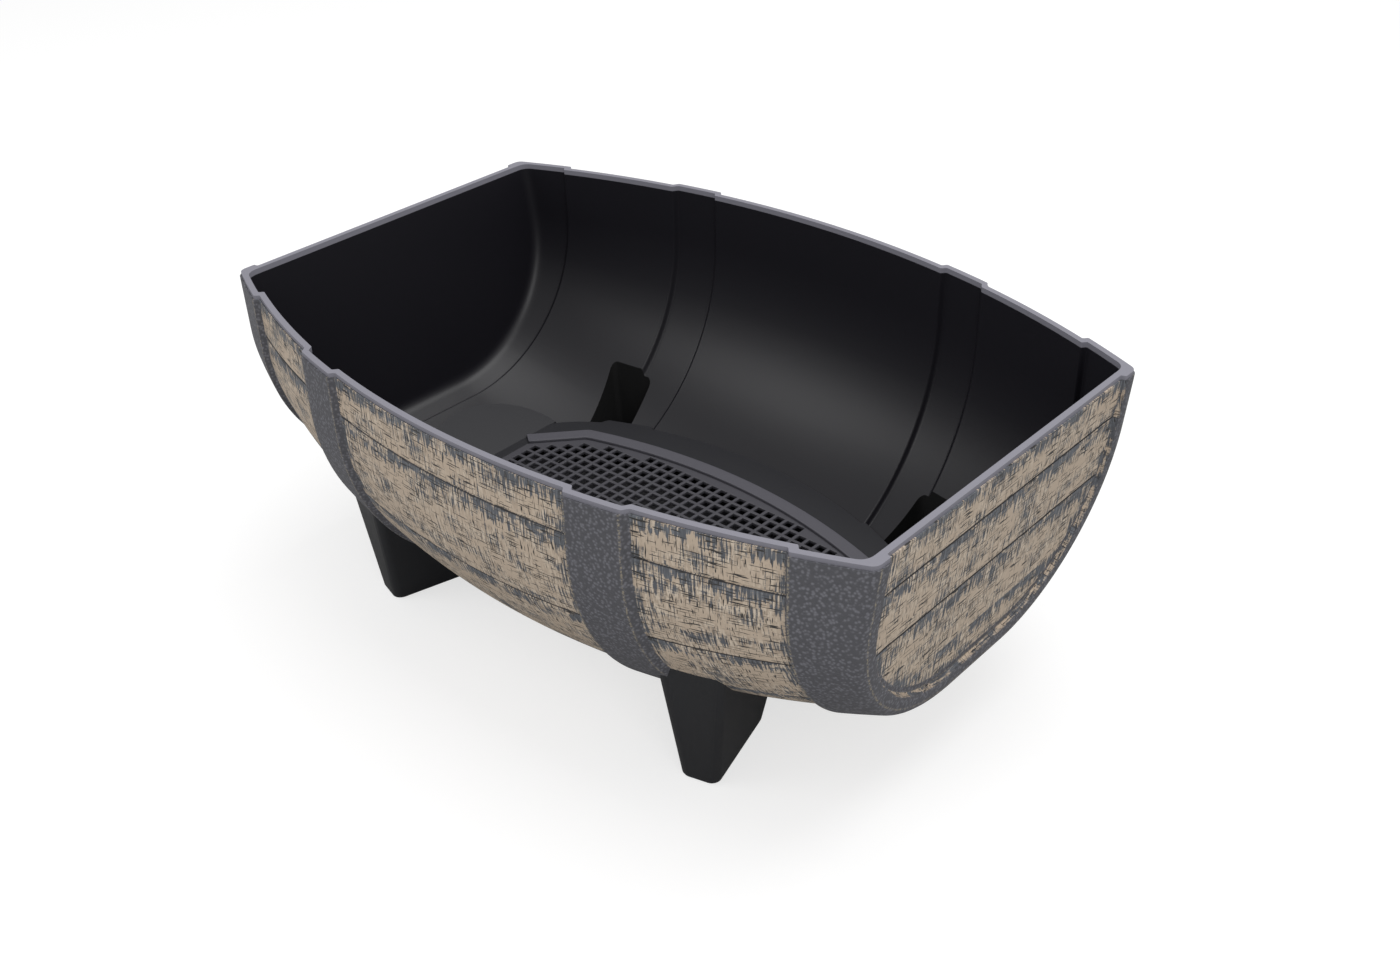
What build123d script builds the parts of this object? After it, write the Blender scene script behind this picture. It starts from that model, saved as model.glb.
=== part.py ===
from build123d import *
import os
from math import cos, radians, sin, sqrt, tan

os.makedirs("parts", exist_ok=True)

# Half barrel planter: a trough moulded like a barrel cut lengthwise, with a drop-in drainage grille.
# Millimetres, +Z up, +X along the length. The origin is on the floor, in the middle of the four feet.

# Whole trough
length = 600.0
height = 240.0
half_width_mid = 212.0
half_width_end = 145.0
wall = 6.0
end_lean = 0.10

# Cross-section: straight upper walls, then two quarter rounds joined by a narrow flat bottom
straight_depth = 44.5
flat_half = 30.0

# Raised hoop bands, |x| from the middle
hoop_step = 4.0
mid_hoop_start = 113.0
mid_hoop_end = 152.0
end_hoop_start = 253.0

# Rim
ledge_width = 1.5
ledge_drop = 3.0

# Recessed panel in each end wall
recess_border = 12.0
recess_depth = 3.5

# Grooves between the staves
groove_width = 2.4
groove_depth = 1.2
end_groove_depths = [32.0, 78.0, 124.0]

# Hollow feet
foot_centre_x = 154.0
foot_centre_y = 110.0
foot_turn = 15.5
foot_width = 28.5
foot_length = 77.0
foot_corner = 7.0
foot_draft = 6.0
foot_back_slope = 24.0
foot_top = 112.0
foot_wall = 3.0
mouth_setback = 20.0

# Drop-in grille
grille_clearance = 0.3
grille_rise = 37.5
ring_height = 2.5
plate_thickness = 3.0
ring_half_length = 188.0
ring_half_width = 93.0
ring_shoulder_x = 150.0
ring_shoulder_y = 68.0
ring_end_y = 26.0
ring_width = 12.0
mesh_pitch = 12.8
mesh_bar = 3.2
tongue_start_x = 185.0
tongue_tip_x = 240.0
tongue_half_width = 62.0
tongue_rise = 17.0
foot_notch_x = 101.0
foot_notch_y = 114.0
foot_notch_end_x = 144.0
foot_notch_end_y = 96.0

# Derived
half_length = length / 2
round_z = height - straight_depth
bulge = half_width_mid - half_width_end
plan_radius = (half_length ** 2 + bulge ** 2) / (2 * bulge)
plan_centre = half_width_mid - plan_radius
end_wall = wall + recess_depth
keel_floor = round_z - (half_width_mid - flat_half) + wall
grille_top = keel_floor + grille_rise
overrun = 10.0
flank_shift = tan(radians(22.5))


def crown(x, inset):
    """Half width of the hoop surface at x, less an inset."""
    return plan_centre + sqrt((plan_radius - inset) ** 2 - x ** 2)


def barrel_edge(inset, closing_y):
    """Plan edge of the barrel along its length, with a step in at each panel, closed at closing_y.

    The middle panel swells as an arc outside, and in three straight runs inside to keep facets few.
    Hoops and outer panels are cones between their stations.
    """
    deep = inset + hoop_step
    shift = inset * flank_shift
    reach = half_length + overrun
    stations = [
        (-reach, inset), (-end_hoop_start - shift, inset),
        (-end_hoop_start - shift + hoop_step, deep), (-mid_hoop_end + shift - hoop_step, deep),
        (-mid_hoop_end + shift, inset), (-mid_hoop_start - shift, inset),
        (-mid_hoop_start - shift + hoop_step, deep), (mid_hoop_start + shift - hoop_step, deep),
        (mid_hoop_start + shift, inset), (mid_hoop_end - shift, inset),
        (mid_hoop_end - shift + hoop_step, deep), (end_hoop_start + shift - hoop_step, deep),
        (end_hoop_start + shift, inset), (reach, inset),
    ]
    for (x0, in0), (x1, in1) in zip(stations[:-1], stations[1:]):
        start = (x0, crown(x0, in0))
        end = (x1, crown(x1, in1))
        if x0 < 0 < x1 and inset < wall:
            ThreePointArc(start, (0, crown(0, in0)), end)
        elif x0 < 0 < x1:
            Polyline(start, (x0 / 3, crown(x0 / 3, in0)), (x1 / 3, crown(x1 / 3, in1)), end)
        else:
            Line(start, end)
    Polyline(
        (reach, crown(reach, inset)), (reach, closing_y),
        (-reach, closing_y), (-reach, crown(reach, inset)),
    )


def barrel_body(inset, end_inset, top):
    """Solid barrel half, inset from the hoop surface and cut to the leaning end planes."""
    with BuildPart() as half:
        with BuildSketch(Plane.XY.offset(round_z)):
            with BuildLine():
                barrel_edge(inset, 0)
            make_face()
        extrude(amount=top - round_z)
        with BuildSketch(Plane.XY.offset(round_z)) as quarter:
            with BuildLine():
                barrel_edge(inset, flat_half)
            make_face()
        revolve(quarter.sketch, Axis((0, flat_half, round_z), (-1, 0, 0)), 90)
        with BuildSketch(Plane((0, 0, round_z + flat_half), (1, 0, 0), (0, 1, 0))) as keel:
            with BuildLine():
                barrel_edge(inset, flat_half)
            make_face()
        extrude(keel.sketch, amount=flat_half)
        mirror(about=Plane.XZ)
        foot_x = half_length - end_inset - end_lean * height
        top_x = half_length - end_inset - end_lean * (height - top)
        with BuildSketch(Plane.XZ) as ends:
            with BuildLine():
                Polyline((-foot_x, 0), (foot_x, 0), (top_x, top), (-top_x, top), close=True)
            make_face()
        extrude(ends.sketch, amount=half_width_mid + overrun, both=True, mode=Mode.INTERSECT)
    return half.part


def foot_solid(gap, front_gap, base_z, top_z):
    """Four tapered, turned feet, drawn in from the outer faces by a gap, and at the front by another."""
    turn = radians(foot_turn)
    middle = (foot_centre_x, -foot_centre_y, 0)
    across_plane = Plane(middle, (cos(turn), sin(turn), 0), (sin(turn), -cos(turn), 0))
    along_plane = Plane(middle, (-sin(turn), cos(turn), 0), (cos(turn), sin(turn), 0))
    sides = []
    ends = []
    for z in (base_z, top_z):
        out = z * tan(radians(foot_draft))
        rear = z * tan(radians(foot_back_slope))
        sides.append((foot_width / 2 + out - gap, z))
        ends.append((foot_length / 2 + out - front_gap, foot_length / 2 + rear - gap, z))
    (low_half, low_z), (high_half, high_z) = sides
    (low_front, low_back, low_z), (high_front, high_back, high_z) = ends
    with BuildPart() as foot:
        with BuildSketch(across_plane) as face:
            with BuildLine():
                Polyline(
                    (-low_half, low_z), (low_half, low_z), (high_half, high_z), (-high_half, high_z), close=True
                )
            make_face()
        extrude(face.sketch, amount=2 * foot_length, both=True)
        with BuildSketch(along_plane) as side:
            with BuildLine():
                Polyline(
                    (-low_front, low_z), (low_back, low_z), (high_back, high_z), (-high_front, high_z), close=True
                )
            make_face()
        extrude(side.sketch, amount=2 * foot_length, both=True, mode=Mode.INTERSECT)
        fillet(foot.edges().filter_by(lambda edge: edge.bounding_box().size.Z > 1), foot_corner - gap / 2)
        mirror(about=Plane.XZ)
        mirror(about=Plane.YZ)
    return foot.part


# Tub: walls, hoops, rim and feet in one moulding
shell = barrel_body(0, 0, height - ledge_drop)
lip = barrel_body(ledge_width, ledge_width, height)
cavity = barrel_body(wall, end_wall, height + overrun)
panel_room = barrel_body(recess_border, -overrun / 2, height + overrun)
feet = foot_solid(0, 0, 0, foot_top)
foot_hollows = foot_solid(foot_wall, mouth_setback, foot_wall, foot_top + overrun)

# End panels: the room between the leaning recess plane and the outside, inside the border
with BuildPart() as end_panels:
    add(panel_room)
    with BuildSketch(Plane.XZ) as keep:
        low_x = half_length - recess_depth - end_lean * height
        high_x = half_length - recess_depth + end_lean * overrun
        with BuildLine():
            Polyline((-low_x, 0), (low_x, 0), (high_x, height + overrun), (-high_x, height + overrun), close=True)
        make_face()
    extrude(keep.sketch, amount=half_width_mid + overrun, both=True, mode=Mode.SUBTRACT)

# Grooves between the planks of the end panels
with BuildPart() as end_grooves:
    for depth in end_groove_depths:
        face_x = half_length - recess_depth - end_lean * depth
        with BuildSketch(Plane.XY.offset(height - depth - groove_width / 2)) as strips:
            with Locations((face_x, 0), (-face_x, 0)):
                Rectangle(2 * groove_depth, 2 * half_width_end)
        extrude(strips.sketch, amount=groove_width)
    add(panel_room, mode=Mode.INTERSECT)

with BuildPart() as tub:
    add(shell)
    add(lip)
    add(feet)
    add(cavity, mode=Mode.SUBTRACT)
    add(foot_hollows, mode=Mode.SUBTRACT)
    add(end_panels.part, mode=Mode.SUBTRACT)
    add(end_grooves.part, mode=Mode.SUBTRACT)

tub.part.label = "tub"
export_step(tub.part, "parts/tub.step")


def inside_ring(x, y):
    """True where a point of the first quadrant is within the ring's inner edge."""
    drop = ring_half_width - ring_shoulder_y
    ring_radius = (ring_shoulder_x ** 2 + drop ** 2) / (2 * drop)
    arc_y = ring_half_width - ring_radius + sqrt((ring_radius - ring_width) ** 2 - x ** 2)
    run = ring_half_length - ring_shoulder_x
    fall = ring_shoulder_y - ring_end_y
    past = ((x - ring_shoulder_x) * fall + (y - ring_shoulder_y) * run) / sqrt(run ** 2 + fall ** 2)
    return y < arc_y and past < -ring_width and x < ring_half_length - ring_width


# Grille: a plate that follows the barrel's inner wall, with a raised ring round a square mesh
plate_top = grille_top - ring_height
plate_room = barrel_body(wall + grille_clearance, end_wall, height)
mesh_hole = mesh_pitch - mesh_bar
columns = int(ring_half_length // mesh_pitch)
rows = int(ring_half_width // mesh_pitch)
cells = [
    (column * mesh_pitch, row * mesh_pitch)
    for column in range(-columns, columns + 1)
    for row in range(-rows, rows + 1)
    if inside_ring(abs(column) * mesh_pitch + mesh_hole / 2, abs(row) * mesh_pitch + mesh_hole / 2)
]

# Rounded end tongues of the plate, which ride up on the keel
with BuildPart() as tongues:
    with BuildSketch(Plane.XZ) as ramp:
        with BuildLine():
            Polyline(
                (tongue_start_x, plate_top - plate_thickness), (tongue_start_x, plate_top),
                (tongue_tip_x, plate_top + tongue_rise), (tongue_tip_x, plate_top + tongue_rise - plate_thickness),
                close=True,
            )
        make_face()
    extrude(ramp.sketch, amount=half_width_end, both=True)
    with BuildSketch(Plane.XY) as outline:
        with BuildLine():
            ThreePointArc(
                (tongue_start_x - 1, -tongue_half_width), (tongue_tip_x, 0), (tongue_start_x - 1, tongue_half_width)
            )
            Line((tongue_start_x - 1, tongue_half_width), (tongue_start_x - 1, -tongue_half_width))
        make_face()
    extrude(outline.sketch, amount=height, mode=Mode.INTERSECT)
    mirror(about=Plane.YZ)

with BuildPart() as grille:
    with BuildSketch(Plane.XY.offset(plate_top - plate_thickness)) as plate:
        Rectangle(length, 2 * half_width_mid)
        with BuildLine():
            Polyline(
                (foot_notch_x, foot_notch_y), (foot_notch_end_x, foot_notch_end_y),
                (mid_hoop_end + hoop_step, foot_notch_end_y), (mid_hoop_end + hoop_step, half_width_mid),
                (foot_notch_x, half_width_mid), close=True,
            )
        make_face(mode=Mode.SUBTRACT)
        mirror(about=Plane.YZ, mode=Mode.INTERSECT)
        mirror(about=Plane.XZ, mode=Mode.INTERSECT)
    extrude(plate.sketch, amount=plate_thickness)
    add(tongues.part)
    add(plate_room, mode=Mode.INTERSECT)
    with BuildSketch(Plane.XY.offset(plate_top)) as ring:
        with BuildLine():
            ThreePointArc(
                (-ring_shoulder_x, ring_shoulder_y), (0, ring_half_width), (ring_shoulder_x, ring_shoulder_y)
            )
            Polyline(
                (ring_shoulder_x, ring_shoulder_y), (ring_half_length, ring_end_y),
                (ring_half_length, -ring_end_y), (ring_shoulder_x, -ring_shoulder_y),
            )
            ThreePointArc(
                (ring_shoulder_x, -ring_shoulder_y), (0, -ring_half_width), (-ring_shoulder_x, -ring_shoulder_y)
            )
            Polyline(
                (-ring_shoulder_x, -ring_shoulder_y), (-ring_half_length, -ring_end_y),
                (-ring_half_length, ring_end_y), (-ring_shoulder_x, ring_shoulder_y),
            )
        make_face()
        offset(amount=-ring_width, kind=Kind.INTERSECTION, mode=Mode.SUBTRACT)
    extrude(ring.sketch, amount=ring_height)
    with BuildSketch(Plane.XY.offset(plate_top - plate_thickness)) as mesh:
        with Locations(*cells):
            Rectangle(mesh_hole, mesh_hole)
    extrude(mesh.sketch, amount=plate_thickness, mode=Mode.SUBTRACT)

grille.part.label = "grille"
export_step(grille.part, "parts/grille.step")
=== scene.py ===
import math

import bmesh
import bpy
import numpy as np
from mathutils import Matrix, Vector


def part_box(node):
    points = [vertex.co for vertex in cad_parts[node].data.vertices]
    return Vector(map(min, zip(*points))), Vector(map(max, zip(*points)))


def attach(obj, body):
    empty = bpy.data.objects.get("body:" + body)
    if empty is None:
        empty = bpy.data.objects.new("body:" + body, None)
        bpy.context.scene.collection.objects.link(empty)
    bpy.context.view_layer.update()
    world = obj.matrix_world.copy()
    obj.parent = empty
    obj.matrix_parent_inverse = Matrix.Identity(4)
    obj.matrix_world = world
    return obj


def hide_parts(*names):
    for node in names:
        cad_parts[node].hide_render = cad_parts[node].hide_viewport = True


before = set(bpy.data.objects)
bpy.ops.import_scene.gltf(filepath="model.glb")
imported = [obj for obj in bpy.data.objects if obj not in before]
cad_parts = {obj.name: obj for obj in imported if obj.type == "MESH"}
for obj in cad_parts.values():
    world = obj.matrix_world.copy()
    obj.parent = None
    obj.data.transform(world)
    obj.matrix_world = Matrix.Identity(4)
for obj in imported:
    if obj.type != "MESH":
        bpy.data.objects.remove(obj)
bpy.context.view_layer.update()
scene = bpy.context.scene
scene.view_settings.view_transform = "Standard"

# Camera
# The photograph looks down from the right of the front. The eye height, the turn and the slight roll
# come from fitting the rim's four corners, and the lens from how the rim narrows towards the back.

photo_width_px = 1400
focal_px = 1528.0
azimuth = math.radians(42.26)
elevation = math.radians(32.91)
roll = math.radians(-1.38)
aim = np.array([0.1665, -0.1403, 0.2400])
distance = 0.9047

back = np.array([
    math.sin(azimuth) * math.cos(elevation), -math.cos(azimuth) * math.cos(elevation), math.sin(elevation)
])
level = np.cross(-back, [0, 0, 1])
level /= np.linalg.norm(level)
upright = np.cross(level, -back)
right = math.cos(roll) * level + math.sin(roll) * upright
up = -math.sin(roll) * level + math.cos(roll) * upright
eye = aim + back * distance

camera_data = bpy.data.cameras.new("camera")
camera_data.sensor_width = 36.0
camera_data.lens = camera_data.sensor_width * focal_px / photo_width_px
camera_data.clip_start = 0.05
camera_data.clip_end = 50.0
camera = bpy.data.objects.new("camera", camera_data)
camera.matrix_world = Matrix([
    [right[0], up[0], back[0], eye[0]],
    [right[1], up[1], back[1], eye[1]],
    [right[2], up[2], back[2], eye[2]],
    [0, 0, 0, 1],
])
scene.collection.objects.link(camera)
scene.camera = camera

# Studio
# A white paper sweep with broad soft boxes: one overhead and a little behind, and a dimmer one at each side of
# the front. The floor stays plain, and the planter leaves only a soft shadow on it.


def linear(hex_colour, alpha=1.0):
    """sRGB hex text to a linear colour: each channel through the standard sRGB curve."""
    channels = [int(hex_colour[i:i + 2], 16) / 255 for i in (0, 2, 4)]
    return [c / 12.92 if c <= 0.04045 else ((c + 0.055) / 1.055) ** 2.4 for c in channels] + [alpha]


def add_node(tree, kind, settings=None, links=None):
    """Adds a node, sets its properties and input values by name or number, and links inputs from other sockets."""
    node = tree.nodes.new(kind)
    for name, value in (settings or {}).items():
        if isinstance(name, int) or name in node.inputs:
            node.inputs[name].default_value = value
        else:
            setattr(node, name, value)
    for name, source in (links or {}).items():
        tree.links.new(source, node.inputs[name])
    return node


def new_material(name):
    """An empty node material and its output node."""
    material = bpy.data.materials.new(name)
    material.use_nodes = True
    tree = material.node_tree
    tree.nodes.clear()
    output = tree.nodes.new("ShaderNodeOutputMaterial")
    return material, tree, output


floor_half = 6.0
floor_mesh = bpy.data.meshes.new("floor")
floor_corners = [(-1, -1, 0), (1, -1, 0), (1, 1, 0), (-1, 1, 0)]
floor_mesh.from_pydata((np.array(floor_corners) * floor_half).tolist(), [], [(0, 1, 2, 3)])
floor = bpy.data.objects.new("floor", floor_mesh)
scene.collection.objects.link(floor)

# White seamless paper. The camera alone sees it glow, so it reads as white and lights nothing.
floor_paint, tree, output = new_material("white_sweep_paper")
path = add_node(tree, "ShaderNodeLightPath")
paper = add_node(tree, "ShaderNodeBsdfDiffuse", {"Color": linear("e6e6e6")})
seen = add_node(tree, "ShaderNodeMix", {"data_type": "FLOAT", "A": 0.0, "B": 1.45}, {
    "Factor": path.outputs["Is Camera Ray"]
})
glow = add_node(tree, "ShaderNodeEmission", {"Color": (1, 1, 1, 1)}, {"Strength": seen.outputs[0]})
sweep = add_node(tree, "ShaderNodeMixShader", {"Fac": 0.45})
tree.links.new(paper.outputs[0], sweep.inputs[1])
tree.links.new(glow.outputs[0], sweep.inputs[2])
tree.links.new(sweep.outputs[0], output.inputs["Surface"])
floor_mesh.materials.append(floor_paint)

world = bpy.data.worlds.new("studio_air")
world.use_nodes = True
tree = world.node_tree
tree.nodes.clear()
output = tree.nodes.new("ShaderNodeOutputWorld")
path = add_node(tree, "ShaderNodeLightPath")
seen = add_node(tree, "ShaderNodeMix", {"data_type": "FLOAT", "A": 0.55, "B": 1.0}, {
    "Factor": path.outputs["Is Camera Ray"]
})
air = add_node(tree, "ShaderNodeBackground", {"Color": (1, 1, 1, 1)}, {"Strength": seen.outputs[0]})
tree.links.new(air.outputs[0], output.inputs["Surface"])
scene.world = world


def soft_box(name, place, target, size, watts):
    """A square area lamp at place that faces target."""
    data = bpy.data.lights.new(name, "AREA")
    data.shape = "SQUARE"
    data.size = size
    data.energy = watts
    lamp = bpy.data.objects.new(name, data)
    z_axis = np.array(place, float) - np.array(target, float)
    z_axis /= np.linalg.norm(z_axis)
    x_axis = np.cross([0, 1, 0.01], z_axis)
    x_axis /= np.linalg.norm(x_axis)
    y_axis = np.cross(z_axis, x_axis)
    columns = [x_axis, y_axis, z_axis, place]
    lamp.matrix_world = Matrix([[c[i] for c in columns] for i in range(3)] + [[0, 0, 0, 1]])
    scene.collection.objects.link(lamp)


soft_box("overhead_box", (0.3, 0.5, 2.2), (0, 0, 0.1), 1.8, 26)
soft_box("front_left_box", (-1.4, -1.8, 1.4), (0, 0, 0.1), 1.2, 10)
soft_box("front_right_box", (1.6, -1.2, 1.2), (0, 0, 0.1), 1.2, 9)

# Tub shell
# One injection moulding in black polypropylene: a half barrel with raised hoops, a stepped rim and
# panels that are scribed as staves. The outside is a worked surface, and the hollow is cut from it.

rim_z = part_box("tub")[1].z
half_length = 0.300
half_width_mid = 0.212
half_width_end = 0.145
flat_half = 0.030
straight_depth = 0.0445
round_z = rim_z - straight_depth
end_lean = 0.10
wall = 0.006
end_wall = 0.0095
ledge_width = 0.0015
ledge_drop = 0.003
hoop_step = 0.004
flank_shift = 0.0025
lid_lift = 0.02
mid_hoop_start, mid_hoop_end, end_hoop_start = 0.113, 0.152, 0.253
recess_border, recess_depth = 0.012, 0.0035
bulge = half_width_mid - half_width_end
plan_radius = (half_length ** 2 + bulge ** 2) / (2 * bulge)
plan_centre = half_width_mid - plan_radius
groove_half, groove_depth = 0.0014, 0.0014
panel_relief = 0.0003
stave_angles = np.radians([19.8, 40.6, 61.4])
stave_radius = 0.175
stave_lines = np.concatenate([[0.033], straight_depth + stave_angles * stave_radius])
end_groove_z = rim_z - np.array([0.032, 0.078, 0.124])
outer_corner, inner_corner = 0.006, 0.007


def smooth_step(x, low_x, high_x):
    """0 below low_x and 1 above high_x, with a cubic in between."""
    t = np.clip((x - low_x) / (high_x - low_x), 0, 1)
    return t * t * (3 - 2 * t)


def panel_share(x, shift):
    """1 on the side panels and 0 on the hoops: cubic flanks one step long, moved by a shift."""
    a = np.abs(x)
    inner = 1 - smooth_step(a, mid_hoop_start + shift - hoop_step, mid_hoop_start + shift)
    rise = smooth_step(a, mid_hoop_end - shift, mid_hoop_end - shift + hoop_step)
    fall = 1 - smooth_step(a, end_hoop_start + shift - hoop_step, end_hoop_start + shift)
    return inner + rise * fall


def section_point(x, inset, s):
    """Barrel surface: plan arc for the half width, then straight wall, quarter round and keel.

    s is 0..1 down the straight part, 1..2 round the quarter and 2..3 along the flat keel to the middle.
    """
    radius = plan_centre + np.sqrt((plan_radius - inset) ** 2 - x ** 2) - flat_half
    angle = np.clip(s - 1, 0, 1) * np.pi / 2
    y = flat_half * (1 - np.clip(s - 2, 0, 1)) + radius * np.cos(angle)
    z = round_z + (1 - np.clip(s, 0, 1)) * straight_depth - radius * np.sin(angle)
    return y, z


def arc_down(s):
    """Distance from the rim down the section: straight part, quarter at the mean radius, then keel."""
    turned = np.clip(s - 1, 0, 1) * np.pi / 2 * stave_radius
    return np.clip(s, 0, 1) * straight_depth + turned + np.clip(s - 2, 0, 1) * flat_half


def stave_groove(s):
    """Depth of the scribed lines between staves: a cubic notch at each stave line on the section."""
    down = arc_down(s)
    notch = np.zeros_like(s)
    for line in stave_lines:
        notch = np.maximum(notch, 1 - smooth_step(np.abs(down - line), 0, groove_half))
    return notch * groove_depth


def below_line(down, lines):
    """Distance below the nearest line above, or below the rim."""
    count = (down[..., None] >= lines).sum(-1)
    return down - np.concatenate([[0.0], lines])[count]


def end_x(inset, s, end_inset):
    """x of the leaning end plane on the section curve: four rounds of x = end - lean * depth(x)."""
    x = np.full_like(s, half_length - end_inset - 0.01)
    for _ in range(4):
        x = half_length - end_inset - end_lean * (rim_z - section_point(x, inset, s)[1])
    return x


quarter_rows = np.linspace(0, 1, 41)
notch_rows = np.array([-1.5, -1, -0.6, -0.25, 0, 0.25, 0.6, 1, 1.5])
notch_turn = groove_half / (half_width_mid - flat_half) / (np.pi / 2)
stave_rows = (stave_angles[:, None] / (np.pi / 2) + notch_rows * notch_turn).ravel()
end_radius = half_width_end - recess_border - flat_half - 0.002
plank_rows = np.arcsin(np.clip((round_z - end_groove_z[1:]) / end_radius, 0, 1))[:, None] / (np.pi / 2)
plank_rows = (plank_rows + notch_rows * groove_half * 1.3 / end_radius / (np.pi / 2)).ravel()
top_line = (stave_lines[0] + rim_z - end_groove_z[0]) / 2
top_rows = (top_line + notch_rows * groove_half * 1.2) / straight_depth
rows = np.concatenate([
    np.linspace(0, 1, 12), top_rows, 1 + quarter_rows, 1 + stave_rows, 1 + plank_rows, 2 + np.linspace(0, 1, 11)
])
rows = np.unique(np.round(rows, 6))
rows = rows[np.concatenate([[True], np.diff(rows) > 1e-4])]
keel_count = int((rows >= 2).sum()) - 1
flank = np.linspace(-0.2, 1.2, 9) * hoop_step
stations = np.concatenate([
    np.linspace(0, mid_hoop_start - 0.006, 12), mid_hoop_start - hoop_step + flank,
    mid_hoop_start + np.linspace(0.002, 0.037, 4), mid_hoop_end + flank,
    mid_hoop_start + flank_shift - hoop_step + flank, mid_hoop_end - flank_shift + flank,
    np.linspace(mid_hoop_end + 0.006, end_hoop_start - 0.006, 10), end_hoop_start - hoop_step + flank,
    end_hoop_start + flank_shift - hoop_step + flank,
])
stations = np.unique(np.round(stations, 5))
stations = stations[(stations < end_hoop_start + 0.004)]
stations = np.concatenate([-stations[:0:-1], stations])


def half_skin(inset, end_inset, recess, corner, shift, notched):
    """Grid (rows, columns, xyz) of the +y half: stations across the length, then round each end corner.

    Past the last station the columns lean with the end plane, turn the corner on a quadratic curve
    and run inwards on the end plane to the border, where they step down by the recess.
    """
    s = rows[:, None] * np.ones_like(stations)[None, :]
    x = stations[None, :] * np.ones_like(s)
    share = panel_share(x, shift)
    relief = stave_groove(s) * (share > 0.99) + panel_relief * share if notched else 0
    depth = inset + hoop_step * share + relief
    y, z = section_point(x, depth, s)
    middle = np.stack([x, y, z], -1)
    corner_x = end_x(inset, rows, end_inset)
    last = stations[-1]
    side = []
    for f in np.linspace(0.1, 1, 8):
        xc = last + (corner_x - corner * 0.9 - last) * f
        side.append(np.stack([xc, *section_point(xc, inset, rows)], -1))
    tip = np.stack([corner_x, *section_point(corner_x, inset, rows)], -1)
    inner_x = end_x(inset + corner, rows, end_inset)
    flat_start = np.stack([inner_x, *section_point(inner_x, inset + corner, rows)], -1)
    for a in np.linspace(0, 1, 8)[1:]:
        side.append((1 - a) ** 2 * side[7] + 2 * a * (1 - a) * tip + a ** 2 * flat_start)
    border = recess_border - 0.0005
    for d, sink in ((border - 0.0006, 0), (border, 0.12), (border + 0.0006, 0.88), (border + 0.0014, 1)):
        lower = end_x(inset + d, rows, end_inset)
        point = np.stack([lower, *section_point(lower, inset + d, rows)], -1)
        point[:, 0] -= recess * sink
        side.append(point)
    right_end = np.stack(side, 1)
    left_end = right_end[:, ::-1] * np.array([-1, 1, 1])
    return np.concatenate([left_end, middle, right_end], 1)


def grid_faces(count_a, count_b, start, flip):
    """Quads of a count_a by count_b grid of points, numbered from start."""
    a = np.arange(count_a * count_b).reshape(count_a, count_b) + start
    quads = np.stack([a[:-1, :-1], a[1:, :-1], a[1:, 1:], a[:-1, 1:]], -1).reshape(-1, 4)
    return quads[:, ::-1] if flip else quads


def stamp(along, down, edge, lines):
    """Paint coordinates: grain (along, down), distance in from the panel's edge, and below the stave line."""
    under = below_line(down, lines)
    return {
        "grain": np.stack([along, down], -1).reshape(-1, 2),
        "border": np.stack([edge, 0 * edge], -1).reshape(-1, 2),
        "stave": np.stack([under, 0 * under], -1).reshape(-1, 2),
    }


def panel_edge(x):
    """Signed distance in from a side panel's nearest end, negative on the hoops."""
    a = np.abs(x)
    middle = mid_hoop_start - hoop_step - a
    outer = np.minimum(a - mid_hoop_end - hoop_step, end_hoop_start - hoop_step - a)
    return np.maximum(middle, outer)


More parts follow.
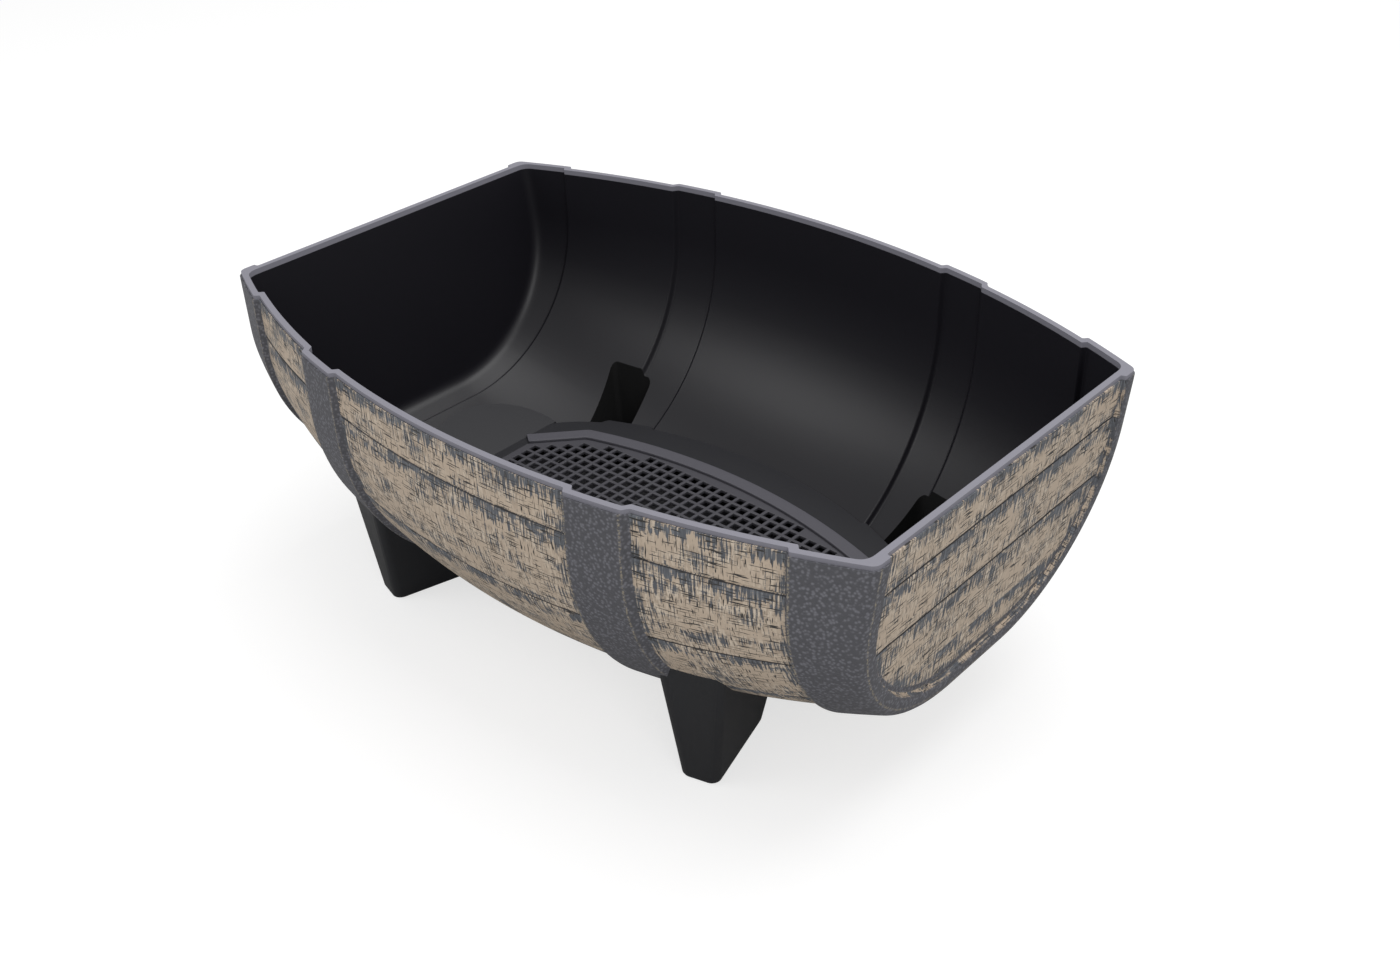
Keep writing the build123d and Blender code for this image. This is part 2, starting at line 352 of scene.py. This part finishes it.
def closed_volume(name, outside, paint):
    """Closed body of the tub's outside or its hollow: two mirrored halves, two ruled end panels and a lid.

    The lid is one face that follows the rim, so it steps in with the end panels and spans no recess.
    """
    if outside:
        half = half_skin(0, 0, recess_depth, outer_corner, 0, True)
        under_ledge = arc_down(rows) > ledge_drop
        half = half[under_ledge]
        depth_rows = rows[under_ledge]
        lip = half_skin(ledge_width, ledge_width, recess_depth, outer_corner - ledge_width, 0, False)[:1]
        half[0, :, 2] = rim_z - ledge_drop
        ledge = lip.copy()
        ledge[..., 2] = rim_z - ledge_drop
        half = np.concatenate([lip, ledge, half])
        depth_rows = np.concatenate([[0, 0], depth_rows])
    else:
        half = half_skin(wall, end_wall, 0, inner_corner, flank_shift, False)
        lifted = half[:1].copy()
        lifted[..., 2] += lid_lift
        half = np.concatenate([lifted, half])
        depth_rows = np.concatenate([[0], rows])
    across = np.linspace(1, -1, 2 * keel_count + 1)
    parts, faces, stamps, total = [], [], [], 0

    def take(points, flip, marks):
        nonlocal total
        a, b = points.shape[:2]
        parts.append(points.reshape(-1, 3))
        faces.append(grid_faces(a, b, total, flip))
        stamps.append(marks)
        total += a * b

    down = arc_down(depth_rows)[:, None] + 0 * half[..., 0]
    end_columns = (half.shape[1] - len(stations)) // 2
    inward = np.zeros(half.shape[1])
    inward[-4:] = np.array([-0.0006, 0, 0.0006, 0.0014])
    inward[-11:-4] = np.linspace(-recess_border, -0.002, 7)
    inward[:end_columns] = inward[-1:-end_columns - 1:-1]
    on_side = np.abs(np.arange(half.shape[1]) - (half.shape[1] - 1) / 2) < len(stations) / 2 + 8
    edge = np.where(on_side, panel_edge(half[..., 0]), inward[None, :])

    # Each side and end starts its grain at another place, so that no two show the same strokes
    take(half, True, stamp(half[..., 0] + 1, down, edge, stave_lines))
    take(half * np.array([1, -1, 1]), False, stamp(half[..., 0] + 3, down, edge, stave_lines))
    keel_start = len(half) - keel_count
    for column, flip, start in ((0, True, 5), (-1, False, 7)):
        rim_edge = half[:keel_start, column]
        panel = np.stack([
            rim_edge[:, None, 0] + 0 * across, rim_edge[:, None, 1] * across, rim_edge[:, None, 2] + 0 * across
        ], -1)
        drop = rim_z - panel[..., 2]
        radius = half_width_end - recess_border - flat_half
        aside = np.maximum(np.abs(panel[..., 1]) - flat_half, 0)
        reach = np.hypot(aside, np.maximum(round_z - panel[..., 2], 0))
        if outside:
            gap = np.abs(panel[..., 2, None] - end_groove_z).min(-1)
            notch = (1 - smooth_step(gap, 0, groove_half)) * groove_depth * (1 - np.abs(across) > 0.01)
            panel[..., 0] -= np.sign(panel[..., 0]) * notch
        take(panel, flip, stamp(panel[..., 1] + start, drop, radius - reach, rim_z - end_groove_z))
    far_edge = half[0]
    near_edge = (half[0] * np.array([1, -1, 1]))[::-1]
    right_side = half[0, -1] * np.stack([0 * across + 1, across, 0 * across + 1], -1)[1:-1]
    left_side = half[0, 0] * np.stack([0 * across + 1, -across, 0 * across + 1], -1)[1:-1]
    lid = np.concatenate([far_edge, right_side, near_edge, left_side])[None]
    parts.append(lid[0])
    stamps.append(stamp(lid[..., 0], 0 * lid[..., 0], -1 + 0 * lid[..., 0], stave_lines))
    lid_face = (np.arange(lid.shape[1]) + total).tolist()
    mesh = bpy.data.meshes.new(name)
    mesh.from_pydata(np.concatenate(parts).tolist(), [], np.concatenate(faces).tolist() + [lid_face])
    corners = np.zeros(len(mesh.loops), np.int32)
    mesh.loops.foreach_get("vertex_index", corners)
    for layer in ("grain", "border", "stave"):
        values = np.concatenate([marks[layer] for marks in stamps])[corners]
        mesh.uv_layers.new(name=layer).data.foreach_set("uv", values.astype(np.float32).ravel())
    mesh.materials.append(paint)
    return welded(name, mesh)


def welded(name, mesh):
    """Joins doubled points, points the faces outwards and makes the object."""
    body = bmesh.new()
    body.from_mesh(mesh)
    bmesh.ops.remove_doubles(body, verts=body.verts, dist=2e-6)
    bmesh.ops.recalc_face_normals(body, faces=body.faces)
    body.to_mesh(mesh)
    body.free()
    piece = bpy.data.objects.new(name, mesh)
    scene.collection.objects.link(piece)
    return piece


foot_centre_x, foot_centre_y = 0.154, 0.110
foot_turn = math.radians(15.5)
foot_width, foot_length, foot_corner = 0.0285, 0.077, 0.007
foot_draft, foot_back_slope = math.radians(6.0), math.radians(24.0)
foot_top, foot_wall, sole_edge = 0.112, 0.003, 0.0025
mouth_setback = 0.020


def foot_solids(name, gap, front_gap, base_z, top_z, paint):
    """Four closed tapered feet: rounded rectangles carried up by the drafts, turned to face the corners."""
    heights = np.array([base_z, base_z + 0.0004, base_z + 0.0012, base_z + sole_edge, top_z])
    tuck = np.array([1, 0.55, 0.2, 0, 0]) * (sole_edge * 0.8 if gap == 0 else 0)
    angles = np.concatenate([np.linspace(0, 90, 9) + k * 90 for k in range(4)])
    corner_x = np.repeat([1, -1, -1, 1], 9)
    corner_y = np.repeat([1, 1, -1, -1], 9)
    turn = np.radians(angles)
    rings = []
    for z, tucked in zip(heights, tuck):
        out = z * math.tan(foot_draft)
        rear = z * math.tan(foot_back_slope)
        half_a = foot_width / 2 + out - gap - tucked
        front = foot_length / 2 + out - front_gap - tucked
        behind = foot_length / 2 + rear - gap - tucked
        half_b = (front + behind) / 2
        radius = foot_corner - gap / 2
        u = corner_x * (half_a - radius) + radius * np.cos(turn)
        v = corner_y * (half_b - radius) + radius * np.sin(turn) + (behind - front) / 2
        x = foot_centre_x + u * math.cos(foot_turn) - v * math.sin(foot_turn)
        y = -foot_centre_y + u * math.sin(foot_turn) + v * math.cos(foot_turn)
        rings.append(np.stack([x, y, np.full_like(x, z)], -1))
    rings = np.stack(rings)
    count, around = rings.shape[:2]
    index = np.arange(count * around).reshape(count, around)
    wrapped = np.concatenate([index, index[:, :1]], 1)
    quads = np.stack([wrapped[:-1, :-1], wrapped[:-1, 1:], wrapped[1:, 1:], wrapped[1:, :-1]], -1).reshape(-1, 4)
    points, faces = [], []
    for sx in (1, -1):
        for sy in (1, -1):
            start = len(points) * count * around
            points.append(rings.reshape(-1, 3) * np.array([sx, sy, 1]))
            faces += (quads + start).tolist() + [(index[0] + start).tolist(), (index[-1] + start).tolist()]
    mesh = bpy.data.meshes.new(name)
    mesh.from_pydata(np.concatenate(points).tolist(), [], faces)
    for layer in ("grain", "border", "stave"):
        mesh.uv_layers.new(name=layer)
    mesh.materials.append(paint)
    return welded(name, mesh)


def cut(piece, tool, operation):
    """Applies one exact Boolean, keeps each side's material, and removes the tool."""
    step = piece.modifiers.new(operation.lower(), "BOOLEAN")
    step.operation = operation
    step.solver = "EXACT"
    step.material_mode = "TRANSFER"
    step.object = tool
    bpy.context.view_layer.update()
    shaped = bpy.data.meshes.new_from_object(piece.evaluated_get(bpy.context.evaluated_depsgraph_get()))
    piece.modifiers.clear()
    piece.data = shaped
    bpy.data.objects.remove(tool)


# Black polypropylene with a brushed wood finish: the mould leaves ragged brush relief, tan paint catches on it
# in short strokes across each stave, and the ground between stays blue-grey charcoal. Hoops stay unpainted.
painted, tree, output = new_material("dry_brushed_wood_finish")
grain_uv = add_node(tree, "ShaderNodeUVMap", {"uv_map": "grain"})
border_uv = add_node(tree, "ShaderNodeUVMap", {"uv_map": "border"})
stave_uv = add_node(tree, "ShaderNodeUVMap", {"uv_map": "stave"})
place = add_node(tree, "ShaderNodeTexCoord")
edge_in = add_node(tree, "ShaderNodeSeparateXYZ", None, {"Vector": border_uv.outputs[0]}).outputs[0]
under_line = add_node(tree, "ShaderNodeSeparateXYZ", None, {"Vector": stave_uv.outputs[0]}).outputs[0]

# Brush marks: the width of a spot along the stave and its length across it in metres, its detail, and a shift
marks = {}
for mark, width, length, detail, shift in (
    ("stroke", 0.0013, 0.020, 2.0, 0), ("broad", 0.030, 0.018, 3.0, 11), ("cross", 0.022, 0.0011, 2.0, 23),
    ("fringe", 0.0022, 0.05, 1.0, 31), ("scratch_along", 0.016, 0.0012, 1.0, 41),
    ("scratch_down", 0.0010, 0.010, 1.0, 57), ("tone", 0.0020, 0.009, 2.0, 71),
):
    spread = add_node(tree, "ShaderNodeMapping", {
        "Scale": (1 / width, 1 / length, 1), "Location": (shift, shift * 0.7, 0)
    }, {"Vector": grain_uv.outputs[0]})
    marks[mark] = add_node(tree, "ShaderNodeTexNoise", {
        "noise_dimensions": "2D", "Scale": 1.0, "Detail": detail, "Roughness": 0.55
    }, {"Vector": spread.outputs[0]}).outputs["Fac"]

# Leathery relief of the hoops, in cells of 2.4 mm with a finer grain of 1.4 mm
leather_cell, pebble_grain = 1 / 420, 1 / 700
leather = add_node(tree, "ShaderNodeTexVoronoi", {
    "feature": "SMOOTH_F1", "Scale": 1 / leather_cell, "Smoothness": 0.6
}, {"Vector": place.outputs["Object"]}).outputs["Distance"]
pebble = add_node(tree, "ShaderNodeTexNoise", {"Scale": 1 / pebble_grain, "Detail": 2.0}, {
    "Vector": place.outputs["Object"]
}).outputs["Fac"]

# Distances that the masks read: a bare band's ragged foot, a hoop's shade, the worn line and the panel's edge
ragged = add_node(tree, "ShaderNodeMath", {"operation": "MULTIPLY_ADD", 1: -0.022}, {
    0: marks["fringe"], 2: under_line
})
shaded = add_node(tree, "ShaderNodeMath", {"operation": "MULTIPLY_ADD", 1: -0.012}, {
    0: marks["cross"], 2: edge_in
})
past_worn = add_node(tree, "ShaderNodeMath", {"operation": "ADD", 1: 0.0042}, {0: edge_in})
from_worn = add_node(tree, "ShaderNodeMath", {"operation": "ABSOLUTE"}, {0: past_worn.outputs[0]})
wander = add_node(tree, "ShaderNodeMath", {"operation": "MULTIPLY_ADD", 1: 0.0016}, {0: pebble, 2: edge_in})

# Masks: each a smooth step of its source from one value at low to another at high
masks = {}
for mask, source, low, high, at_low, at_high in (
    ("ragged", ragged.outputs[0], -0.004, 0.003, 1.0, 0.0), ("bare_patch", marks["broad"], 0.40, 0.55, 0.0, 1.0),
    ("hoop_shade", shaded.outputs[0], -0.004, 0.001, 1.0, 0.0),
    ("scratch_along", marks["scratch_along"], 0.64, 0.69, 0.0, 1.0),
    ("scratch_down", marks["scratch_down"], 0.66, 0.72, 0.0, 1.0),
    ("tan_tone", marks["tone"], 0.35, 0.65, 0.0, 1.0), ("tan_wash", marks["broad"], 0.35, 0.7, 0.0, 1.0),
    ("charcoal_tone", marks["stroke"], 0.4, 0.7, 0.0, 1.0), ("groove_and_ledge_shade", under_line, 0.0007, 0.0013, 1.0, 0.0),
    ("leather_tone", leather, 0.15, 0.55, 0.0, 1.0), ("on_panel", wander.outputs[0], 0.0003, 0.0012, 0.0, 1.0),
    ("worn_line", from_worn.outputs[0], 0.0002, 0.0011, 1.0, 0.0), ("worn_patch", pebble, 0.42, 0.62, 0.0, 1.0),
):
    masks[mask] = add_node(tree, "ShaderNodeMapRange", {
        "interpolation_type": "SMOOTHSTEP", "From Min": low, "From Max": high, "To Min": at_low, "To Max": at_high
    }, {"Value": source}).outputs[0]

bare_band = add_node(tree, "ShaderNodeMath", {"operation": "MULTIPLY"}, {
    0: masks["ragged"], 1: masks["bare_patch"]
})
scratches = add_node(tree, "ShaderNodeMath", {"operation": "MAXIMUM"}, {
    0: masks["scratch_along"], 1: masks["scratch_down"]
}).outputs[0]
worn = add_node(tree, "ShaderNodeMath", {"operation": "MULTIPLY"}, {
    0: masks["worn_line"], 1: masks["worn_patch"]
})
worn_share = add_node(tree, "ShaderNodeMath", {"operation": "MULTIPLY", 1: 0.6}, {0: worn.outputs[0]})

# Paint cover: the strokes plus weighted marks, less the bare bands and the hoops' shade
cover = marks["stroke"]
for source, weight in (
    (marks["broad"], 0.9), (marks["cross"], 0.35), (bare_band.outputs[0], -0.42), (masks["hoop_shade"], -0.14)
):
    cover = add_node(tree, "ShaderNodeMath", {"operation": "MULTIPLY_ADD", 1: weight}, {
        0: source, 2: cover
    }).outputs[0]
tan_share = add_node(tree, "ShaderNodeMapRange", {
    "interpolation_type": "SMOOTHSTEP", "From Min": 0.90, "From Max": 1.04
}, {"Value": cover}).outputs[0]

# Colours, by number of the Mix node's colour sockets: 6 below, 7 above, and 2 out
tan_strokes = add_node(tree, "ShaderNodeMix", {"data_type": "RGBA", 6: linear("b1a08e"), 7: linear("dccdba")}, {
    "Factor": masks["tan_tone"]
})
tan = add_node(tree, "ShaderNodeMix", {"data_type": "RGBA", 7: linear("c8b6a2")}, {
    "Factor": masks["tan_wash"], 6: tan_strokes.outputs[2]
})
charcoal = add_node(tree, "ShaderNodeMix", {"data_type": "RGBA", 6: linear("5d6066"), 7: linear("7d8187")}, {
    "Factor": masks["charcoal_tone"]
})
panel_colour = add_node(tree, "ShaderNodeMix", {"data_type": "RGBA"}, {
    "Factor": tan_share, 6: charcoal.outputs[2], 7: tan.outputs[2]
})
# Scratches and the stave grooves, dark joints, are darker. The same groove mask also darkens a thin line on the
# side ledges at the foot of the rim's lip: painted shade.
for share, dark in ((scratches, "3a3836"), (masks["groove_and_ledge_shade"], "2b2a2c")):
    panel_colour = add_node(tree, "ShaderNodeMix", {"data_type": "RGBA", 7: linear(dark)}, {
        "Factor": share, 6: panel_colour.outputs[2]
    })
hoop_colour = add_node(tree, "ShaderNodeMix", {"data_type": "RGBA", 6: linear("74747b"), 7: linear("545459")}, {
    "Factor": masks["leather_tone"]
})
skin_colour = add_node(tree, "ShaderNodeMix", {"data_type": "RGBA"}, {
    "Factor": masks["on_panel"], 6: hoop_colour.outputs[2], 7: panel_colour.outputs[2]
})
worn_colour = add_node(tree, "ShaderNodeMix", {"data_type": "RGBA", 7: linear("b0a48c")}, {
    "Factor": worn_share.outputs[0], 6: skin_colour.outputs[2]
})

# Relief: paint and strokes stand up and scratches sink on the panels, and the hoops take the leather
relief = add_node(tree, "ShaderNodeMath", {"operation": "MULTIPLY", 1: 0.5}, {0: tan_share}).outputs[0]
for source, weight in ((marks["stroke"], 0.8), (scratches, -0.9)):
    relief = add_node(tree, "ShaderNodeMath", {"operation": "MULTIPLY_ADD", 1: weight}, {
        0: source, 2: relief
    }).outputs[0]
hoop_relief = add_node(tree, "ShaderNodeMath", {"operation": "ADD"}, {0: leather, 1: pebble})
hoop_height = add_node(tree, "ShaderNodeMath", {"operation": "MULTIPLY", 1: 1.2}, {0: hoop_relief.outputs[0]})
height = add_node(tree, "ShaderNodeMix", {"data_type": "FLOAT"}, {
    "Factor": masks["on_panel"], 2: hoop_height.outputs[0], 3: relief
})
bump = add_node(tree, "ShaderNodeBump", {"Strength": 0.55, "Distance": 0.0006}, {"Height": height.outputs[0]})
skin = add_node(tree, "ShaderNodeBsdfPrincipled", {"Roughness": 0.58, "IOR": 1.49}, {
    "Base Color": worn_colour.outputs[2], "Normal": bump.outputs[0]
})
tree.links.new(skin.outputs[0], output.inputs["Surface"])


def moulded(name, colour, roughness, grit, strength):
    """Plain moulded plastic: one colour, one roughness and a fine spark-eroded grain of the given grit."""
    material, tree, output = new_material(name)
    place = add_node(tree, "ShaderNodeTexCoord")
    grain = add_node(tree, "ShaderNodeTexNoise", {"Scale": 1 / grit, "Detail": 2.0}, {
        "Vector": place.outputs["Object"]
    })
    bump = add_node(tree, "ShaderNodeBump", {"Strength": strength, "Distance": 0.0002}, {
        "Height": grain.outputs["Fac"]
    })
    skin = add_node(tree, "ShaderNodeBsdfPrincipled", {
        "Base Color": linear(colour), "Roughness": roughness, "IOR": 1.49
    }, {"Normal": bump.outputs[0]})
    tree.links.new(skin.outputs[0], output.inputs["Surface"])
    return material


# Polished core side of the mould: a soft sheen. The feet are duller. Their hollows are painted shade, a near-black
# copy of the same plastic, and the rim top is painted light, a pale grey copy of it. The grit is 0.9 to 1.2 mm,
# coarser than the real spark grain, so that it shows at all.
inside_black = moulded("satin_black_polypropylene", "18171d", 0.38, 0.0012, 0.15)
foot_black = moulded("foot_black_polypropylene", "1b1c20", 0.45, 0.0012, 0.2)
# Painted shade: the hollows inside the feet are the same black plastic, made darker and duller here so that they
# read as black.
hollow_painted_shade = moulded("painted_shade_hollow_polypropylene", "050506", 0.80, 0.0012, 0.1)
# Painted light: the rim top is the same black plastic, given a pale grey so that its upward face reads lit.
rim_painted_light = moulded("rim_painted_light_polypropylene", "84838d", 0.55, 0.0009, 0.3)

shell = closed_volume("tub_shell", True, painted)
cut(shell, foot_solids("foot_blocks", 0, 0, 0, foot_top, foot_black), "UNION")
cut(shell, closed_volume("cavity", False, inside_black), "DIFFERENCE")
# The hollows cut into the feet carry that painted shade.
foot_hollows = foot_solids("foot_hollows", foot_wall, mouth_setback, foot_wall, foot_top + 0.01, hollow_painted_shade)
cut(shell, foot_hollows, "DIFFERENCE")
# The rim's painted light goes on the faces above the ledge: the rim top and the lip's outer step.
shell.data.materials.append(rim_painted_light)
middles = np.zeros(len(shell.data.polygons) * 3, np.float32)
shell.data.polygons.foreach_get("center", middles)
kinds = np.zeros(len(shell.data.polygons), np.int32)
shell.data.polygons.foreach_get("material_index", kinds)
kinds[middles.reshape(-1, 3)[:, 2] > rim_z - ledge_drop + 0.0001] = len(shell.data.materials) - 1
shell.data.polygons.foreach_set("material_index", kinds)
shell.data.shade_smooth()
shell.data.set_sharp_from_angle(angle=math.radians(35))
shell.data.name = "tub_shell"
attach(shell, "tub_body")
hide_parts("tub")

# Drop-in grille
# One loose black polypropylene moulding that lies on the tub's inner wall: a skirt that follows the wall, two
# raised bands along its sides, a square mesh between them, and a tongue up each end of the keel.

plate_thickness = 0.003
plate_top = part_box("grille")[0].z + plate_thickness
ring_height = 0.0025
grille_clearance = 0.0003
ring_shoulder = np.array([0.150, 0.068])
ring_half_length, ring_half_width, ring_end_y, ring_width = 0.188, 0.093, 0.026, 0.012
mesh_pitch, mesh_bar = 0.0098, 0.0026
notch_start, notch_end = np.array([0.101, 0.114]), np.array([0.144, 0.096])
tongue_start, tongue_tip, tongue_half, tongue_rise = 0.185, 0.240, 0.062, 0.017
ring_drop = ring_half_width - ring_shoulder[1]
ring_radius = (ring_shoulder[0] ** 2 + ring_drop ** 2) / (2 * ring_drop)


def plate_edge(x):
    """Half width of the plate at x: where the inner wall meets the plate's underside, cut straight at the feet."""
    inset = wall + grille_clearance + hoop_step * panel_share(x, flank_shift)
    radius = plan_centre + np.sqrt((plan_radius - inset) ** 2 - x ** 2) - flat_half
    reach = flat_half + np.sqrt(np.maximum(radius ** 2 - (round_z - plate_top + plate_thickness) ** 2, 0))
    slope = (notch_end[1] - notch_start[1]) / (notch_end[0] - notch_start[0])
    cut_line = notch_start[1] + (np.abs(x) - notch_start[0]) * slope
    by_foot = (np.abs(x) > notch_start[0]) & (np.abs(x) < mid_hoop_end + hoop_step)
    return np.where(by_foot, np.minimum(reach, cut_line), reach)


def ring_edge(x, inset):
    """Half width of the ring's edge at x: an arc, then a straight run down to the ring's end."""
    arc = ring_half_width - ring_radius + np.sqrt((ring_radius - inset) ** 2 - x ** 2)
    run = np.array([ring_half_length - ring_shoulder[0], ring_shoulder[1] - ring_end_y])
    run_length = np.hypot(*run)
    straight = ring_shoulder[1] - (np.abs(x) - ring_shoulder[0]) * run[1] / run[0] - inset * run_length / run[0]
    return np.minimum(arc, straight)


def flat_piece(name, outlines, low_z, depth, rounding, paint):
    """A flat plate from closed outlines: a filled 2D curve, extruded by the depth with rounded edges."""
    curve = bpy.data.curves.new(name, "CURVE")
    curve.dimensions = "2D"
    curve.fill_mode = "BOTH"
    curve.extrude = depth / 2 - rounding
    curve.bevel_depth = rounding
    curve.bevel_resolution = 1
    curve.offset = -rounding
    for outline in outlines:
        spline = curve.splines.new("POLY")
        spline.points.add(len(outline) - 1)
        points = np.zeros((len(outline), 4), np.float32)
        points[:, :2] = outline
        points[:, 3] = 1
        spline.points.foreach_set("co", points.ravel())
        spline.use_cyclic_u = True
    holder = bpy.data.objects.new(name, curve)
    scene.collection.objects.link(holder)
    bpy.context.view_layer.update()
    mesh = bpy.data.meshes.new_from_object(holder.evaluated_get(bpy.context.evaluated_depsgraph_get()))
    bpy.data.objects.remove(holder)
    mesh.transform(Matrix.Translation((0, 0, low_z + depth / 2)))
    mesh.materials.clear()
    mesh.materials.append(paint)
    return welded(name, mesh)


skirt_black = moulded("grille_skirt_polypropylene", "2a2a2e", 0.50, 0.0012, 0.2)
# Painted light: the bands and the mesh are the same black plastic as the skirt, given lighter greys so that their
# flat tops read lit.
band_painted_light = moulded("grille_band_painted_light_polypropylene", "5c5b62", 0.50, 0.0012, 0.2)
mesh_painted_light = moulded("grille_mesh_painted_light_polypropylene", "4f4e54", 0.45, 0.0012, 0.1)
plate_x = np.linspace(-0.1939, 0.1939, 241)
side = np.stack([plate_x, plate_edge(plate_x)], -1)
outline = np.concatenate([side, side[::-1] * np.array([1, -1])])
hole = mesh_pitch - mesh_bar
columns = np.arange(-17, 18) * mesh_pitch
cell_rows = np.arange(-8, 9) * mesh_pitch
cell_x, cell_y = [a.ravel() for a in np.meshgrid(columns, cell_rows)]
far_x = np.abs(cell_x) + hole / 2
room = ring_edge(far_x, ring_width)
kept = (np.abs(cell_y) + hole / 2 < room) & (far_x < 0.1745)
square = np.array([[-1, -1], [1, -1], [1, 1], [-1, 1]]) * hole / 2
holes = [square + centre for centre in np.stack([cell_x, cell_y], -1)[kept]]
field_x = np.linspace(-0.1765, 0.1765, 121)
field_side = np.stack([field_x, ring_edge(field_x, ring_width / 2)], -1)
field = np.concatenate([field_side, field_side[::-1] * np.array([1, -1])])
plate_base = plate_top - plate_thickness
skirt = flat_piece("grille_skirt", [outline, field], plate_base, plate_thickness, 0.0003, skirt_black)
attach(skirt, "grille_body")
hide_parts("grille")

# The mesh takes its lighter grey, painted light.
mesh_field = flat_piece("grille_mesh", [field] + holes, plate_base, plate_thickness, 0.0003, mesh_painted_light)
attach(mesh_field, "grille_body")

band_x = np.linspace(-ring_half_length + 0.002, ring_half_length - 0.002, 121)
band_outer = np.stack([band_x, ring_edge(band_x, 0)], -1)
inner_x = np.linspace(-ring_half_length + 0.012, ring_half_length - 0.012, 121)
band_inner = np.stack([inner_x, ring_edge(inner_x, ring_width)], -1)
band = np.concatenate([band_outer, band_inner[::-1]])
both_bands = [band, band * np.array([1, -1])]
# The raised bands take the lightest grey, painted light.
bands = flat_piece("grille_bands", both_bands, plate_top - 0.0002, ring_height + 0.0002, 0.0005, band_painted_light)
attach(bands, "grille_body")


def tongue_solid(name, side_of_x, paint):
    """A ramped tongue: u runs along it and v across, its width closes on an arc, and its height climbs evenly.

    The same grid set one plate thickness lower is its underside, and a strip of quads joins the two outlines.
    """
    reach = tongue_tip - tongue_start
    arc_radius = (tongue_half ** 2 + reach ** 2) / (2 * reach)
    u = np.sin(np.linspace(0, np.pi / 2, 25))[:, None]
    v = np.linspace(-1, 1, 33)[None, :]
    from_centre = u * reach - reach + arc_radius
    half = np.maximum(np.sqrt(np.maximum(arc_radius ** 2 - from_centre ** 2, 0)), 0.0005)
    x = side_of_x * (tongue_start + u * reach + 0 * v)
    top = np.stack([x, half * v, plate_top - 0.0002 + tongue_rise * u + 0 * v], -1)
    under = top - np.array([0, 0, plate_thickness - 0.0004])
    rows_count, columns_count = top.shape[:2]
    index = np.arange(rows_count * columns_count).reshape(rows_count, columns_count)
    rim = np.concatenate([index[0, :-1], index[:-1, -1], index[-1, :0:-1], index[:0:-1, 0]])
    ring_next = np.roll(rim, -1)
    strip = np.stack([rim, ring_next, ring_next + index.size, rim + index.size], -1)
    upper = grid_faces(rows_count, columns_count, 0, True)
    lower = grid_faces(rows_count, columns_count, index.size, False)
    faces = np.concatenate([upper, lower, strip])
    mesh = bpy.data.meshes.new(name)
    mesh.from_pydata(np.concatenate([top.reshape(-1, 3), under.reshape(-1, 3)]).tolist(), [], faces.tolist())
    mesh.materials.append(paint)
    return welded(name, mesh)


for tongue_name, side_of_x in (("grille_tongue_right", 1), ("grille_tongue_left", -1)):
    tongue = tongue_solid(tongue_name, side_of_x, skirt_black)
    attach(tongue, "grille_body")
